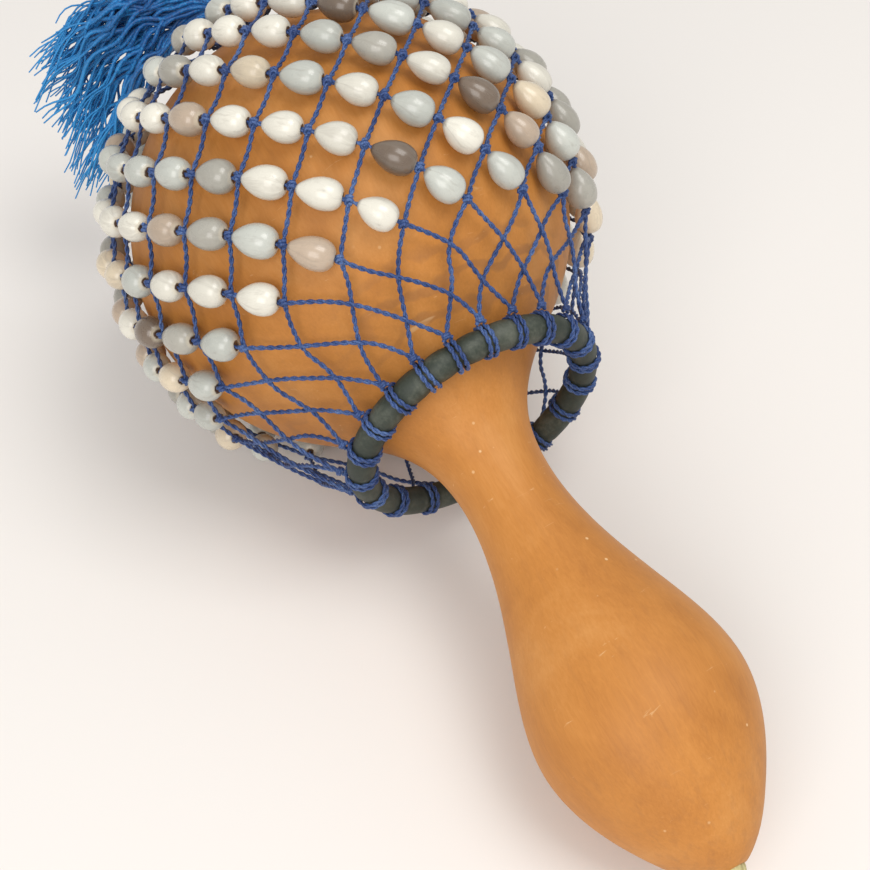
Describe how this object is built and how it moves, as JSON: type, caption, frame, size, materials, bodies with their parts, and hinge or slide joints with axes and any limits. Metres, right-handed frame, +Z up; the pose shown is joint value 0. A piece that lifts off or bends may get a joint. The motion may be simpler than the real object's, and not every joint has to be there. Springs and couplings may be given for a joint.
{
  "type": "beaded gourd rattle",
  "caption": "Hand rattle: whole dried gourd with a bulbed handle inside a loose net of twisted cord strung with seed beads, tied to a ring collar and gathered in a tassel.",
  "frame": {"origin": "centre of the lying rattle's outer box, on the ground it lies on", "axes": "+X along the level direction from the beaded bulb to the handle, +Y to the left of the handle seen from above, +Z up; the rattle lies with the handle bulb and the lowest beads on the ground"},
  "size_m": [0.3238, 0.1482, 0.1491],
  "materials": {
    "gourd_skin": "smooth waxed gourd skin, tan orange, soft gloss",
    "stem": "dry torn stem, pale straw",
    "gourd_seed": "dry matte seed",
    "seed_bead": "hard glossy seed shell in white, grey and beige",
    "net_cord": "twisted polished cord, mid blue",
    "tassel_yarn": "soft unravelled yarn, bright blue",
    "collar_rubber": "satin dark green-grey hose",
    "dowel_wood": "plain cut wood"
  },
  "bodies": {
    "gourd": {"gourd_shell": "gourd_skin", "stem_stub": "stem"},
    "seeds": {"loose_seeds": "gourd_seed"},
    "net_carrier": {"gather_binding": "net_cord"},
    "net": {"collar_tube": "collar_rubber", "collar_dowel": "dowel_wood", "cord_bundle": "net_cord", "net_string_01": "net_cord", "net_string_02": "net_cord", "net_string_03": "net_cord", "net_string_04": "net_cord", "net_string_05": "net_cord", "net_string_06": "net_cord", "net_string_07": "net_cord", "net_string_08": "net_cord", "net_string_09": "net_cord", "net_string_10": "net_cord", "net_string_11": "net_cord", "net_string_12": "net_cord", "net_string_13": "net_cord", "net_string_14": "net_cord", "net_string_15": "net_cord", "net_string_16": "net_cord", "net_string_17": "net_cord", "net_string_18": "net_cord", "net_string_19": "net_cord", "net_string_20": "net_cord", "bead_string_01": "seed_bead", "bead_string_02": "seed_bead", "bead_string_03": "seed_bead", "bead_string_04": "seed_bead", "bead_string_05": "seed_bead", "bead_string_06": "seed_bead", "bead_string_07": "seed_bead", "bead_string_08": "seed_bead", "bead_string_09": "seed_bead", "bead_string_10": "seed_bead", "bead_string_11": "seed_bead", "bead_string_12": "seed_bead", "bead_string_13": "seed_bead", "bead_string_14": "seed_bead", "bead_string_15": "seed_bead", "bead_string_16": "seed_bead", "bead_string_17": "seed_bead", "bead_string_18": "seed_bead", "bead_string_19": "seed_bead", "bead_string_20": "seed_bead"},
    "tassel_root": {"tassel_knot": "tassel_yarn"},
    "tassel": {"tassel_strands": "tassel_yarn"}
  },
  "joints": [
    {"name": "seeds_tumble", "type": "hinge", "parent": "gourd", "child": "seeds", "pos_m": [-0.04595, 0, 0.07421], "axis": [0.9641, 0, -0.2655], "continuous": true},
    {"name": "net_slide", "type": "slide", "parent": "gourd", "child": "net_carrier", "axis": [0.9641, 0, -0.2655], "range_m": [0, 0.003]},
    {"name": "net_turn", "type": "hinge", "parent": "net_carrier", "child": "net", "pos_m": [-0.04595, 0, 0.07421], "axis": [0.9641, 0, -0.2655], "continuous": true},
    {"name": "tassel_sway", "type": "hinge", "parent": "net", "child": "tassel_root", "pos_m": [-0.12954, 0, 0.09723], "axis": [0.2655, 0, 0.9641], "range_deg": [-60, 5]},
    {"name": "tassel_swing", "type": "hinge", "parent": "tassel_root", "child": "tassel", "pos_m": [-0.12954, 0, 0.09723], "axis": [0, 1, 0], "range_deg": [-8, 35]}
  ]
}
